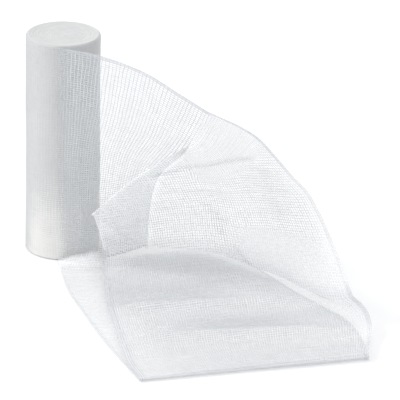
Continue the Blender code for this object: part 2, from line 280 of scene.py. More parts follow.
def gauze_finish():
    """Open gauze: alpha is the larger of the yarns' cover and the haze, and 0 where the piece isn't shown.

    The haze is a sum of soft noise, streaks along the wefts, the selvedge and what shown has above 1. The
    colour is a ramp from grey to white on pale, which patches, streaks and the selvedge change a little."""
    material, skin, start = finish_of("open_gauze")
    u, v = cloth_place(start)
    shown, to_cut, painted_light = (stored(start, name) for name in ("shown", "to_cut", "painted_light"))
    warp, weft = weave(u, v, OPEN_YARN)
    selvedge = u.under(STRIP_WIDTH - u).step(SELVEDGE_FROM, SELVEDGE_FULL)
    doubled = yarns(u, v, SELVEDGE_PITCH, SELVEDGE_YARN, 21.0) * selvedge
    mass = warp.over(weft * to_cut.step(*LAST_WEFT)).over(doubled)
    fibres = noise(u * 0.6, v * 0.6, 3.0)
    streaks = noise(u * 0.03, v * 0.5, 2.0) - 0.5
    patches = noise(u * 0.05, v * 0.05, 2.0) - 0.5
    dense = (shown - 1.0).over(0.0)
    haze = 0.08 + fibres * 0.16 + streaks * 0.5 + selvedge * 0.18 + dense
    alpha = (mass * YARN_COVER).over(haze * to_cut.step(*LAST_FIBRE)) * shown.under(1.0)
    # Colour: painted light and shade from the mesh, random tone, and a darker selvedge, twice as dark above
    upper_half = u.step(50.0, 60.0)
    whiteness = painted_light + patches * 0.10 + streaks * 0.12 - selvedge * (0.16 + upper_half * 0.16)
    tint = whiteness.tint((0.0, SHADED_COTTON), (1.0, WHITE_COTTON))
    bump = start.node("ShaderNodeBump", Strength=0.45, Distance=0.0002, Height=mass + fibres * 0.2)
    feed(skin, Alpha=alpha, Base_Color=tint, Roughness=0.86 + fibres * 0.12, Normal=bump)
    return material


OPEN_GAUZE = gauze_finish()
print("open gauze nodes", len(OPEN_GAUZE.node_tree.nodes))

# %% [markdown]
# ## The wound gauze
# On the roll the same cloth lies in many layers, so no hole goes through. What shows is the outermost weave
# and, a little darker between its yarns with painted shade, the weave beneath. Two weaves, the lower one
# shifted by half a mesh, give that without any alpha. The turns' edges on the upper end have no meshes, so
# there the cover is nearly even. On the side there is painted light and shade as well: lighter at the foot,
# darker at the upper right and on the left.

# %% The wound gauze finish
OUTER_YARN, BENEATH_YARN = 0.40, 0.46  # widths of yarns in mm
WOUND_DARK, WOUND_GREY, WOUND_WARM = (0.45, 0.462, 0.472), (0.625, 0.632, 0.634), (0.775, 0.772, 0.758)


def shades_of_side(u, v):
    """Painted light and shade on the roll's side, lighter above 0 and darker below: painted light thrown up
    from the table at the foot, and painted shade at the upper right and on the left.

    u is the way down from the top and v the way round: 0 and 103 are the right, 51 the left, 77 the front."""
    foot = u.step(55.0, 98.0) * v.step(50.0, 68.0, 0.30, 1.9)
    upper_right = v.step(68.0, 86.0) * v.step(100.0, 93.0) * u.step(60.0, 20.0)
    left = v.step(66.0, 54.0) * v.step(42.0, 50.0)
    return foot - upper_right * 1.3 - left


def wound_finish():
    """Many layers of the same gauze: cover is the larger of the outer weave and the weaker one beneath it."""
    material, skin, start = finish_of("wound_gauze")
    u, v = cloth_place(start)
    on_side = stored(start, "on_side")
    warp, weft = weave(u, v, OUTER_YARN)
    below_warp, below_weft = weave(u + 0.45, v + 0.6, BENEATH_YARN, 40.0)
    beneath = 0.50 + 0.28 * below_warp.over(below_weft)
    fibres = noise(u * 0.7, v * 0.7, 3.0)
    patches = noise(u * 0.06, v * 0.05, 2.0) - 0.5
    # The side: the outer weave over the weave beneath in painted shade, plus painted light and shade
    side = beneath.over(warp.over(weft) * 0.92) + shades_of_side(u, v) * 0.24
    ends = 0.88 + fibres * 0.16
    cover = side * on_side + ends * (1 - on_side) + patches * 0.20
    tint = (cover * 0.86).tint((0.15, WOUND_DARK), (0.8, WOUND_GREY), (1.0, WOUND_WARM))
    bump = start.node("ShaderNodeBump", Strength=0.4, Distance=0.0003, Height=cover)
    feed(skin, Base_Color=tint, Roughness=0.86 + fibres * 0.12, Normal=bump)
    return material


WOUND_GAUZE = wound_finish()
print("wound gauze nodes", len(WOUND_GAUZE.node_tree.nodes))

# %% [markdown]
# ## Grids into meshes
# Every surface here is a grid of points worked out by numpy. One helper puts a grid into a mesh, with a UV
# for each corner of each face. A UV for each corner, not each point, lets the pattern change its direction
# sharply at a crease.


# %% Grid to mesh
def faces_of(grid):
    """The four corners of each face of a grid, in the order in which the faces are wound."""
    return np.stack([grid[:-1, :-1], grid[1:, :-1], grid[1:, 1:], grid[:-1, 1:]], axis=2)


def corners(u, v):
    """Corner UVs of a grid's faces, from the values of u and v at its points."""
    return faces_of(np.stack([u, v], axis=-1))


def grid_piece(name, points, uv, finish, values):
    """A piece from points (n, m, 3) in metres and corner UVs (n - 1, m - 1, 4, 2) in millimetres of cloth."""
    n, m, _ = points.shape
    quads = faces_of(np.arange(n * m).reshape(n, m)).reshape(-1, 4)
    mesh = bpy.data.meshes.new(name)
    mesh.vertices.add(n * m)
    mesh.vertices.foreach_set("co", points.astype(np.float32).ravel())
    mesh.loops.add(quads.size)
    mesh.loops.foreach_set("vertex_index", quads.astype(np.int32).ravel())
    mesh.polygons.add(len(quads))
    mesh.polygons.foreach_set("loop_start", np.arange(0, quads.size, 4, dtype=np.int32))
    mesh.update(calc_edges=True)
    layer = mesh.uv_layers.new(name=UV_MAP)
    layer.uv.foreach_set("vector", uv.astype(np.float32).ravel())
    for key, value in values.items():
        kept = mesh.attributes.new(key, "FLOAT", "POINT")
        kept.data.foreach_set("value", value.astype(np.float32).ravel())
    mesh.shade_smooth()
    mesh.validate()
    mesh.materials.append(finish)
    piece = bpy.data.objects.new(name, mesh)
    scene.collection.objects.link(piece)
    print(name, "points", n * m, "faces", len(quads))
    return piece


# %% [markdown]
# ## The roll
# A strip wound tightly on itself shows two things: a side that is not quite even, because each turn grips
# the one beneath a little differently, and ends where the edges of all turns form one spiral. We could wind
# a long thin strip, but its inner turns would never be seen. So both are made as relief on a turned profile.

# %% Roll profile
ROLL_RADIUS, ROLL_HEIGHT = 16.0, 100.0  # mm, of the packed roll
PROUD = 0.4  # mm, the soft cloth stands this far out from it
WOUND_RADIUS, WOUND_HEIGHT = ROLL_RADIUS + PROUD, ROLL_HEIGHT + PROUD
RIM_ROUND, FOOT_ROUND = 1.3, 1.2  # mm, radii of the quarter circles at the top and at the foot
END_DISH, WAIST = 0.9, 0.10  # mm, how deep the upper end is dished and the side drawn in


def roll_profile():
    """Radius and height in mm, from the middle of the top over the rim, down the side and back to the middle.

    The top's height falls by END_DISH (1 - (r / reach)^2). The side is drawn in by the root of a half sine
    wave of the height."""
    reach = WOUND_RADIUS - RIM_ROUND
    top_r = np.linspace(0.0, reach, 96)
    top_z = WOUND_HEIGHT - END_DISH * (1 - (top_r / reach) ** 2)
    bend = np.linspace(0, math.pi / 2, 9)[1:]
    rim_r, rim_z = reach + RIM_ROUND * np.sin(bend), WOUND_HEIGHT - RIM_ROUND * (1 - np.cos(bend))
    side_z = np.linspace(WOUND_HEIGHT - RIM_ROUND, FOOT_ROUND, 60)[1:]
    side_r = WOUND_RADIUS - WAIST * np.sin(math.pi * (side_z / WOUND_HEIGHT)) ** 0.5
    bend = np.linspace(0, math.pi / 2, 7)[1:]
    foot_r, foot_z = WOUND_RADIUS - FOOT_ROUND * (1 - np.cos(bend)), FOOT_ROUND * (1 - np.sin(bend))
    under_r = np.linspace(WOUND_RADIUS - FOOT_ROUND, 0, 24)[1:]
    radius = np.concatenate([top_r, rim_r, side_r, foot_r, under_r])
    height = np.concatenate([top_z, rim_z, side_z, foot_z, 0 * under_r])
    return radius, height, len(top_r)


radius, height, top_count = roll_profile()
print("profile points", len(radius), "of which on the top", top_count)

# %% Roll surface
TURN_PITCH = 0.8  # mm, thickness of one turn of the winding
GROOVE_WIDTH, GROOVE_DEPTH = 0.16, 0.11  # half width as a share of a turn, and depth in mm
ROLL_COLUMNS = 257  # points round the roll, the last one on the first
SWELLS = (
    # height in mm, waves round the roll, turn of the wave in radians for each mm of height
    (0.07, 3, 0.05),
    (0.05, 5, -0.11),
    (0.04, 2, 0.21),
)


def roll_grid(radius, height):
    """Turned profile with relief.

    On the top the height falls in a groove between turns: turn = r / pitch + angle / full circle, and the
    groove is deep where its fraction is near 0 or 1. Each turn also stands a little higher or lower than the
    next. On the side the radius swells by three soft waves of angle and height."""
    angle = np.repeat(np.linspace(0, 2 * math.pi, ROLL_COLUMNS)[None], len(radius), 0)
    r, z = np.repeat(radius[:, None], ROLL_COLUMNS, 1), np.repeat(height[:, None], ROLL_COLUMNS, 1)
    turn = r / TURN_PITCH + angle / (2 * math.pi)
    share = turn - np.floor(turn)
    groove = np.exp(-((np.minimum(share, 1 - share) / GROOVE_WIDTH) ** 2))
    uneven = 0.05 * np.sin((np.floor(turn) - angle / (2 * math.pi)) * 2.4)
    soft = 0.10 * np.sin(2 * angle + r * 0.5) + 0.08 * np.sin(3 * angle - r * 0.31)
    on_top = np.clip((WOUND_RADIUS - 0.9 - r) / 1.2, 0, 1) * np.clip(r, 0, 1) * (z > 0.5 * WOUND_HEIGHT)
    z = z + on_top * (uneven + soft * 0.6 - GROOVE_DEPTH * groove - 0.12)
    on_side = np.clip(np.minimum(z, WOUND_HEIGHT - z) / 6, 0, 1) * (r > WOUND_RADIUS - 0.6)
    swell = sum(tall * np.sin(waves * angle + lean * z) for tall, waves, lean in SWELLS)
    r = r + on_side * (swell - 0.02)
    return np.stack([r * np.cos(angle), r * np.sin(angle), z], axis=-1), r, angle, z


roll_points, r, angle, z = roll_grid(radius, height)
print("radius at half height from", r[134].min().round(2), "to", r[134].max().round(2), "mm")

# %% Roll piece
TOP_RUN = 3.0  # mm of cloth for each radian on the top, where the turns' edges lie

side = np.clip((radius - (WOUND_RADIUS - 1.0)) / 0.7, 0, 1)[:, None] * np.ones_like(angle)
roll_uv = corners(WOUND_HEIGHT - z, angle * WOUND_RADIUS)
roll_uv[: top_count - 1] = corners(r, angle * TOP_RUN)[: top_count - 1]
roll_piece = grid_piece("wound_roll", roll_points * MM, roll_uv, WOUND_GAUZE, {"on_side": side})


def close_seams(piece, within=1e-6):
    """Merges points that lie on each other: the first and last angle, and the many points at each pole."""
    work = bmesh.new()
    work.from_mesh(piece.data)
    before = len(work.verts)
    bmesh.ops.remove_doubles(work, verts=work.verts, dist=within)
    bmesh.ops.recalc_face_normals(work, faces=work.faces)
    work.to_mesh(piece.data)
    open_edges = sum(e.is_boundary for e in work.edges)
    print(piece.name, "points merged", before - len(work.verts), "open edges", open_edges)
    work.free()


close_seams(roll_piece)
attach(roll_piece, "root")
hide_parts("roll")

# %% [markdown]
# ## The loose end: its measure
# The loose end is one sheet, so it is one grid: rows run across the strip and columns along it. The cloth
# keeps the lines of the packed solid, whose edge curves are repeated here as short tables, but its grid is
# finer. A cloth simulation would drop a strip somewhere else each time a size changes, so the folds are
# drawn instead.

# %% Rows and columns
CLOTH = 1.0  # mm, thickness of the packed sheet
CLEAR = 0.3  # mm, room between the cloth and the packed roll
PLEAT_TURN, PLEAT_LEAST = 0.7, 1.0  # mm, radius of the pleat's turns, and the least way between them
FRONT_TURN = (0.8, 1.5)  # mm, radius of the front fold at its left and its right end
LYING = 0.5 * CLOTH  # height of the middle of the cloth that lies on the surface

# Row 0 is the selvedge at the roll's foot, and the last row the one at its top. The row where the pleat
# runs out lies higher on the roll's side of it, because the cloth is pulled askew there.
ROWS = 29
APEX = 0.5  # the row where the pleat runs out, as a share of the rows
APEX_ON_ROLL_SIDE = 0.75  # the same row's share of the strip's width on the roll's side
PLEAT_FADE = 0.24  # how far past its apex the pleat is still a ridge, as a share of the rows

# Columns along the strip, section by section, no further apart than a few yarns
ON_ROLL, BACK_FAN, TURN, MIDDLE, WALL, FLOOR, FRONT, TAIL = 6, 47, 4, 30, 130, 150, 8, 94

w = np.linspace(0, 1, ROWS)
print("rows", ROWS, "columns", ON_ROLL + BACK_FAN + 2 * TURN + MIDDLE + WALL + FLOOR + FRONT + TAIL)


# %% Curves through tables, and patches between curves
def along(table, at):
    """Points on a smooth curve through a table whose first column is the curve's own measure.

    Between two points the curve is a cubic that has the table's slope at both."""
    rows = np.array(table, float)
    knots, values = rows[:, 0], rows[:, 1:]
    slopes = np.gradient(values, knots, axis=0)
    at = np.clip(np.asarray(at, float), knots[0], knots[-1])
    k = np.clip(np.searchsorted(knots, at, side="right") - 1, 0, len(knots) - 2)
    step = (knots[k + 1] - knots[k])[:, None]
    f = ((at - knots[k]) / (knots[k + 1] - knots[k]))[:, None]
    return (
        (2 * f**3 - 3 * f**2 + 1) * values[k]
        + (f**3 - 2 * f**2 + f) * step * slopes[k]
        + (3 * f**2 - 2 * f**3) * values[k + 1]
        + (f**3 - f**2) * step * slopes[k + 1]
    )


def patch(start, end, lower, upper, q, t):
    """The surface between four edge curves: columns by q from start to end, rows by t from lower to upper.

    It is the straight blend of start and end, moved by what its two long edges lack, shared out by t."""
    q, t = q[:, None, None], t[None, :, None]
    ruled = (1 - q) * start[None] + q * end[None]
    lower_ruled = (1 - q) * start[0] + q * end[0]
    upper_ruled = (1 - q) * start[-1] + q * end[-1]
    return ruled + (1 - t) * (lower[:, None] - lower_ruled) + t * (upper[:, None] - upper_ruled)


print("half way up the arch of a table", along(((0, 0.0), (0.5, 1.0), (1, 0.0)), [0.25]).round(3))


# %% Small helpers
def ease(a, b, x):
    """0 below a, 1 above b, and a smooth step between them."""
    f = np.clip((x - a) / (b - a), 0, 1)
    return f * f * (3 - 2 * f)


def band(x, a, b, c, d):
    """0 below a, 1 from b to c and 0 above d, with smooth steps."""
    return ease(a, b, x) * (1 - ease(c, d, x))


def unit(v):
    """Vectors shortened or stretched to length 1."""
    return v / np.linalg.norm(v, axis=-1, keepdims=True)


def walked_to(grid):
    """The distance walked along the strip to each point of a grid, from its first column."""
    steps = np.linalg.norm(np.diff(grid, axis=0), axis=2)
    return np.concatenate([np.zeros((1, steps.shape[1])), np.cumsum(steps, axis=0)])


def roll_side(w):
    """The strip's share of width on the roll's side of the pleat, for a share of the rows."""
    return np.interp(w, (0, APEX, 1), (0, APEX_ON_ROLL_SIDE, 1))


print("the apex row lies at", roll_side(APEX), "of the width on the roll's side")

# %% [markdown]
# ## The fan
# The cloth lies on the roll as its outermost turn, leaves it along its front and runs to the right. Its
# lower edge stays short while its upper edge is pulled far out, so the yarns across it spread like a fan.
# Four edge curves and a patch between them give that: whatever the edges do, the rows between share it out.

# %% The upper selvedge
# Each row of an edge's table is a share of the way along it, then x, y and z in mm, or only x and y. This
# edge runs from the roll to the seam above the pleat.
TOP_EDGE = (
    (0.00, -7.4, -15.1, 100.0),
    (0.33, 17.0, -26.5, 100.0),
    (0.62, 38.0, -37.0, 95.6),
    (0.80, 51.0, -43.6, 89.7),
    (1.00, 63.0, -49.6, 84.2),
)

# After the pleat: an arch down to the surface
ARCH = (
    (0.00, 63.0, -49.6, 84.2),
    (0.12, 73.2, -54.6, 81.3),
    (0.22, 81.4, -58.6, 77.6),
    (0.34, 90.0, -61.8, 69.7),
    (0.47, 98.6, -64.4, 61.0),
    (0.54, 103.5, -65.8, 56.6),
    (0.68, 110.7, -67.4, 45.4),
    (0.84, 118.2, -70.8, 30.7),
    (0.95, 123.8, -76.0, 18.3),
    (1.00, 126.7, -79.0, 12.0),
)

for name, table in (("fan's top edge", TOP_EDGE), ("arch", ARCH)):
    curve = along(table, np.linspace(0, 1, 100))
    print(name, "mm long", walked_to(curve[:, None])[-1, 0].round(1))

# %% The fan's other edges
# Lower selvedge of the first part, from the roll to the pleat's back crease
FOOT_EDGE = (
    (0.00, -2.3, -16.7, 0.6),
    (0.18, 4.5, -17.6, 0.6),
    (0.38, 12.0, -17.4, 0.7),
    (0.58, 20.0, -14.8, 1.0),
    (0.80, 29.5, -9.2, 1.6),
    (1.00, 37.0, -4.2, 2.4),
)

# Back crease of the pleat, from the lower selvedge up past the apex to the upper selvedge
BACK_CREASE = (
    # across on the roll's side, x, y, z (mm)
    (0.00, 37.0, -4.2, 2.4),
    (0.22, 37.6, -12.2, 21.4),
    (0.50, 42.4, -26.3, 45.6),
    (0.75, 54.0, -40.0, 62.8),
    (1.00, 63.0, -49.6, 84.2),
)

# The cloth starts as a turn on the roll at this angle, and leaves the roll along a line that goes from the
# first to the second angle between its foot and its top (degrees round the roll)
WRAP_START = -150.0
LEAVES_AT = (-98.0, -116.0)
FOOT_HEIGHT = 0.6  # mm, of the lower selvedge on the roll


# %% Fan surface
def fan_grid(q, w):
    """The first part: round the roll as its outermost turn, and on to the pleat's back crease.

    On the roll a point has a fixed radius and an angle that goes evenly from the start to where the cloth
    leaves. From there on it is a patch between the line of leaving, the back crease and the two selvedges."""
    t = roll_side(w)
    radius = ROLL_RADIUS + CLEAR + 0.5 * CLOTH
    leaves = np.radians(LEAVES_AT[0] + (LEAVES_AT[1] - LEAVES_AT[0]) * t)
    height = FOOT_HEIGHT + (ROLL_HEIGHT - FOOT_HEIGHT) * t
    share = np.linspace(0, 1, ON_ROLL, endpoint=False)[:, None]
    angle = math.radians(WRAP_START) * (1 - share) + leaves * share
    turns = np.stack([radius * np.cos(angle), radius * np.sin(angle), height + 0 * angle], axis=-1)
    start = np.stack([radius * np.cos(leaves), radius * np.sin(leaves), height], axis=-1)
    foot, top = along(FOOT_EDGE, q), along(TOP_EDGE, q)
    foot += (1 - q)[:, None] * (start[0] - foot[0])
    top += (1 - q)[:, None] * (start[-1] - top[0])
    return turns, patch(start, along(BACK_CREASE, t), foot, top, q, t)


turns, fan = fan_grid(np.linspace(0, 1, BACK_FAN), w)

# The same surface on a finer grid, which the layers in front of it are kept clear of
fine_w = np.linspace(0, 1, 57)
_, fine_fan = fan_grid(np.linspace(0, 1, 56), fine_w)
print("fan columns", len(fan), "top edge to foot edge, mm", walked_to(fan)[-1, [-1, 0]].round(1))

# %% [markdown]
# ## The pleat
# The lower half of the strip is folded back to the left and forward again, three layers over each other,
# and the fold runs out half way up. Two round turns with a layer between them give it, and the angle of the
# turns falls to nothing above the point where the pleat ends. Three sheets laid over each other would show
# edges where nothing joins them. So one formula makes both the pleat and the plain cloth above it, with no
# seam between them.

# %% Turns of the pleat
# Front crease of the pleat, from its free corner towards the apex
FRONT_CREASE = (
    # across on the roll's side, x, y, z (mm)
    (0.00, 14.4, -22.6, 23.9),
    (0.40, 32.3, -31.6, 44.8),
    (0.75, 52.0, -42.2, 63.6),
)
LEAST_TURN = 0.01  # radians, what stays of a turn where the pleat has run out


def turn_steps(start, first, last, length, sideways, viewer):
    """Points round a turn whose heading goes from the first angle to the last, from sideways to the viewer.

    With radius = length / (last - first), the point with heading h is radius (sin h - sin first) sideways
    and radius (cos first - cos h) towards the viewer."""
    for k in range(1, TURN + 1):
        h = first + (last - first) * (k / TURN)
        aside, nearer = np.sin(h) - np.sin(first), np.cos(first) - np.cos(h)
        yield start + length / (last - first) * (aside * sideways + nearer * viewer)


print("layers of the pleat are", 2 * PLEAT_TURN, "mm apart")


# %% Keeping one layer in front of another
def in_front(points, behind, axes, gap):
    """The points moved towards the viewer where they would lie nearer than the gap to the cloth behind.

    The level behind a point is the mean of the levels there, weighed by a bell of the distance seen from the
    front. Past the edge of the cloth behind, the push dies away as another bell."""
    flat = behind.reshape(-1, 3) @ axes.T
    here = points.reshape(-1, 3) @ axes.T
    apart = np.linalg.norm(here[:, None, :2] - flat[None, :, :2], axis=2)
    weight = np.exp(-((apart / 1.2) ** 2)) + 1e-30
    level = (weight * flat[None, :, 2]).sum(1) / weight.sum(1)
    covered = np.exp(-((np.maximum(apart.min(1) - 1.5, 0) / 1.5) ** 2))
    short = level + gap - here[:, 2]
    push = covered * np.maximum(short, 0)
    return (points.reshape(-1, 3) + push[:, None] * axes[2]).reshape(points.shape)


probe = in_front(np.array([[0.0, 0.0, -1.0]]), np.zeros((1, 3)), np.eye(3), 0.5)
print("a point 1 mm behind a layer, kept 0.5 mm in front of it, goes to", probe.round(2))


# %% Pleat surface
def pleat_grid(fan, fine_fan, w):
    """The pleat: two opposite turns with a layer between them, which flatten out above the apex.

    The turns' angle is half a circle below the apex and falls to 0 over PLEAT_FADE of the rows above it."""
    t = roll_side(w)
    back = fan[-1]
    front = along(FRONT_CREASE, np.minimum(t, APEX_ON_ROLL_SIDE))
    apex = int(round(APEX * (len(w) - 1)))
    outwards = unit(back[0] - front[0])
    viewer = unit(np.cross(outwards, back[apex] - back[0]))
    axes = np.array([outwards, np.cross(viewer, outwards), viewer])
    swing = ease(APEX, 1.0, w)[:, None]
    arch_start = unit(np.array(ARCH[1][1:]) - np.array(ARCH[0][1:]))
    sideways = unit((1 - swing) * unit(back - fan[-2]) + swing * arch_start)
    viewer = unit(viewer - (sideways @ viewer)[:, None] * sideways)
    angle = np.pi * (1 - ease(APEX, APEX + PLEAT_FADE, w))[:, None]
    bent = np.maximum(angle, LEAST_TURN)
    length = np.pi * PLEAT_TURN
    rise = 2 * PLEAT_TURN * viewer

    first = list(turn_steps(back, 0 * bent, bent, length, sideways, viewer))
    heading = np.cos(angle) * sideways + np.sin(angle) * viewer
    short_of_apex = first[-1][apex] + PLEAT_LEAST * heading[apex] + rise[apex] - front[apex]
    front = front + ((w / APEX) ** 2)[:, None] * short_of_apex
    front = in_front(front, fine_fan, axes, 4 * PLEAT_TURN)
    ends = np.where((w <= APEX)[:, None], front - rise, first[-1] + PLEAT_LEAST * heading)
    steps = np.arange(1, MIDDLE + 1)[:, None, None] / MIDDLE
    middle = first[-1] + (ends - first[-1]) * steps
    middle = in_front(middle, fine_fan, axes, 2 * PLEAT_TURN)
    last = list(turn_steps(middle[-1], bent, 0 * bent, length, sideways, viewer))
    return np.concatenate([first, middle, last]), axes


pleat, axes = pleat_grid(fan, fine_fan, w)
fine_pleat, _ = pleat_grid(fine_fan, fine_fan, fine_w)
under = fine_pleat[: TURN + MIDDLE]
print("pleat columns", len(pleat), "cloth in its lower edge, mm", round(float(walked_to(pleat)[-1, 0]), 1))

# %% [markdown]
# ## The falling wall
# From the pleat on, the cloth arches over to the right and falls to the table. Its upper edge is the
# outline that we see against the white ground, so that curve is the one to get right. The wall is one more
# patch, and it is kept in front of the fan and of the pleat's other layers, so that the cloth never runs
# through itself.

# %% Wall tables
# Lower selvedge after the pleat, from the free corner down to the surface
DROP_EDGE = (
    (0.00, 14.4, -22.6, 23.9),
    (0.50, 16.8, -22.8, 16.0),
    (1.00, 18.7, -23.0, 8.6),
)

# Where the falling wall meets the surface
WALL_FOOT = (
    # row share, x, y, z (mm)
    (0.00, 18.7, -23.0, 8.6),
    (0.12, 29.0, -14.0, 6.6),
    (0.25, 41.5, -8.8, 4.0),
    (0.38, 55.0, -6.6, 2.5),
    (0.50, 67.5, -9.4, 2.1),
    (0.62, 83.0, -23.6, 2.1),
    (0.74, 96.5, -35.6, 2.1),
    (0.84, 107.5, -50.0, 2.2),
    (0.93, 118.8, -65.5, 4.0),
    (1.00, 126.7, -79.0, 12.0),
)


# %% Wall surface
def wall_grid(seam, w):
    """The falling wall, from the seam with the pleat to the surface, as a patch between its four edges."""
    q = np.linspace(0, 1, WALL + 1)
    drop, arch = along(DROP_EDGE, q), along(ARCH, q)
    drop += (1 - q)[:, None] * (seam[0] - drop[0])
    arch += (1 - q)[:, None] * (seam[-1] - arch[0])
    wall = patch(seam, along(WALL_FOOT, w), drop, arch, q, w)[1:]
    wall[:-1] = in_front(wall[:-1], fine_fan, axes, 4 * PLEAT_TURN)
    wall[:-1] = in_front(wall[:-1], under, axes, 2 * PLEAT_TURN)
    return wall


wall = wall_grid(pleat[-1], w)
wall_foot = wall[-1].copy()
print("wall columns", len(wall), "arch, mm", round(float(walked_to(wall)[-1, -1]), 1))

# %% [markdown]
# ## Creases
# The cloth was folded before it was draped, and a few of those folds still show on the wall as soft lines.
# We could leave them to the shader, but a real trough also catches the light. So each is a trough along a
# broken line.

# %% Creases of the wall
CREASES = (
    # depth, half width, then the line's points as x, z (mm)
    (1.2, 1.2, ((41.7, 47.6), (53.0, 51.6), (60.0, 54.0), (66.5, 57.4), (73.6, 60.0), (82.5, 63.3))),
    (0.7, 1.6, ((64.5, 29.0), (68.4, 22.5), (70.4, 14.5))),
    (0.3, 1.8, ((88.0, 58.0), (91.0, 44.0), (96.0, 32.0))),
)
CREASE_WAY = np.array([0.25, 0.85, -0.3])  # the way a trough goes: back, and a little to the right and down


def crease_amount(points, line, half_width):
    """Bell of the distance from a broken line, seen from the front: x to the right and z up."""
    here = points[..., [0, 2]]
    nearest = np.full(here.shape[:2], 1e9)
    for a, b in zip(np.array(line)[:-1], np.array(line)[1:]):
        share = np.clip(((here - a) @ (b - a)) / ((b - a) @ (b - a)), 0, 1)
        nearest = np.minimum(nearest, np.linalg.norm(here - a - share[..., None] * (b - a), axis=-1))
    return np.exp(-((nearest / half_width) ** 2))


creased = np.zeros(wall.shape[:2])
for depth, half_width, line in CREASES:
    amount = crease_amount(wall, line, half_width)
    wall[1:-1] += (depth * amount[..., None] * CREASE_WAY)[1:-1]
    creased = np.maximum(creased, depth * amount)
print("points in creases", int((creased > 0.3).sum()))

# %% [markdown]
# ## The lying part
# On the table the strip turns under at the front and runs back to the roll, so the lying part is two
# layers. It isn't flat: it comes down from the wall in a curve, two low ripples run across it, and it rises
# a little to the front fold. Each of these is a curve of the way walked that is added to the height.

# %% Tables of the lying part
# Its two selvedges, from the wall's foot to the front fold
LYING_INNER = (
    (0.00, 18.7, -23.0),
    (0.20, 19.8, -48.0),
    (0.37, 21.4, -69.0),
    (0.50, 24.2, -86.0),
    (0.66, 27.5, -106.0),
    (0.84, 31.5, -128.0),
    (1.00, 36.9, -144.5),
)
LYING_OUTER = (
    (0.00, 126.7, -79.0),
    (0.16, 131.6, -84.2),
    (0.34, 133.9, -90.0),
    (0.66, 134.0, -103.0),
    (1.00, 132.2, -118.2),
)
FRONT_LEFT, FRONT_RIGHT = np.array((36.9, -144.5)), np.array((132.2, -118.2))

# Soft ripples, parallel to its front: how far back, how high and how wide, in mm
RIPPLES = (
    # back at the left, back at the right, height, width
    (73.0, 62.0, 2.2, 4.4),
    (41.0, 29.0, 2.0, 5.0),
)
LEVEL = 4 * LYING  # mm, middle of the upper layer where it lies flat
FOLD_RISE = 14  # mm, how far back from the front fold the layer begins to rise


# %% Surface of the lying part
def front_line(w):
    """Plan of the front fold, from its left to its right end."""
    return FRONT_LEFT * (1 - w)[:, None] + FRONT_RIGHT * w[:, None]


def with_height(plan, z):
    """Points from their plan (x and y) and their heights."""
    return np.concatenate([plan, z[..., None]], axis=2)


def lying_grid(foot, w):
    """The upper layer on the surface, and how far each of its points still is from the front fold.

    Height is the level, plus what is left of the wall foot's height, which fades with the way walked, plus
    the swell to the front fold and the ripples, both bells of the way to go."""
    q = np.linspace(0, 1, FLOOR + 1)
    plan = patch(foot[:, :2], front_line(w), along(LYING_INNER, q), along(LYING_OUTER, q), q, w)
    walked = walked_to(plan)
    to_go = walked[-1] - walked
    come_down = 6 + 10 * ease(0.8, 1.0, w)
    lift = (foot[:, 2] - LEVEL) * np.exp(-((walked / come_down) ** 1.4))
    fold_height = 2 * (FRONT_TURN[0] + (FRONT_TURN[1] - FRONT_TURN[0]) * w) + LYING
    swell = (fold_height - LEVEL) * np.exp(-((to_go / FOLD_RISE) ** 2))
    ripple = np.zeros_like(lift)
    for left, right, tall, wide in RIPPLES:
        back_by = left + (right - left) * w
        ripple += tall * band(w, 0.0, 0.15, 0.72, 0.95) * np.exp(-(((to_go - back_by) / wide) ** 2))
    z = LEVEL + lift + np.maximum(swell, 0) + ripple
    return with_height(plan, z)[1:], to_go


lying, to_go = lying_grid(wall_foot, w)
print("lying columns", len(lying), "inner and outer edge, mm", to_go[0, [0, -1]].round(1))

# %% [markdown]
# ## The front fold and the tail
# The fold is half a circle in each row, as wide as the gap between the two layers there, because folded
# gauze keeps a round edge that a sharp crease in a mesh wouldn't have. The tail under it shows through the
# weave, to the left of the lying part, and its cut end curls up at the roll's foot.

# %% Tables of the tail
# Its two selvedges, from the front fold back to its cut end at the roll's foot
TAIL_INNER = (
    (0.00, 36.9, -144.5),
    (0.15, 28.4, -124.0),
    (0.30, 21.0, -105.0),
    (0.49, 13.4, -81.5),
    (0.74, 4.0, -50.5),
    (0.89, 0.6, -32.0),
    (1.00, -1.6, -19.4),
)
TAIL_OUTER = (
    (0.00, 132.2, -118.2),
    (0.21, 129.0, -91.0),
    (0.33, 123.6, -76.5),
    (0.46, 113.5, -62.5),
    (0.59, 103.5, -49.0),
    (0.72, 94.0, -34.0),
    (0.86, 83.0, -15.5),
    (1.00, 77.0, 3.0),
)
CUT_END = (
    # row share, x, y, z (mm)
    (0.00, -1.6, -19.4, 1.4),
    (0.10, 4.6, -19.6, 4.0),
    (0.18, 10.2, -19.7, 5.2),
    (0.24, 14.4, -19.4, 6.6),
    (0.32, 20.0, -18.2, 3.0),
    (0.44, 30.0, -12.6, 0.5),
    (0.54, 40.0, -6.6, 0.5),
    (0.76, 60.0, -0.6, 0.5),
    (1.00, 77.0, 3.0, 0.5),
)
CURL_REACH = 6  # mm, how far from the cut end the cloth begins to curl


# %% Surfaces of the fold and the tail
def fold_grid(top_end, w):
    """Half a circle in each row, from the lying part's end down to the surface, bulging forward."""
    run = FRONT_RIGHT - FRONT_LEFT
    forward = np.array([run[1], -run[0]]) / np.linalg.norm(run)
    radius = 0.5 * (top_end[:, 2] - LYING)
    angle = math.pi * np.arange(1, FRONT + 1)[:, None] / FRONT
    plan = front_line(w) + (radius * np.sin(angle))[..., None] * forward
    z = top_end[:, 2] - radius * (1 - np.cos(angle))
    return with_height(plan, z)


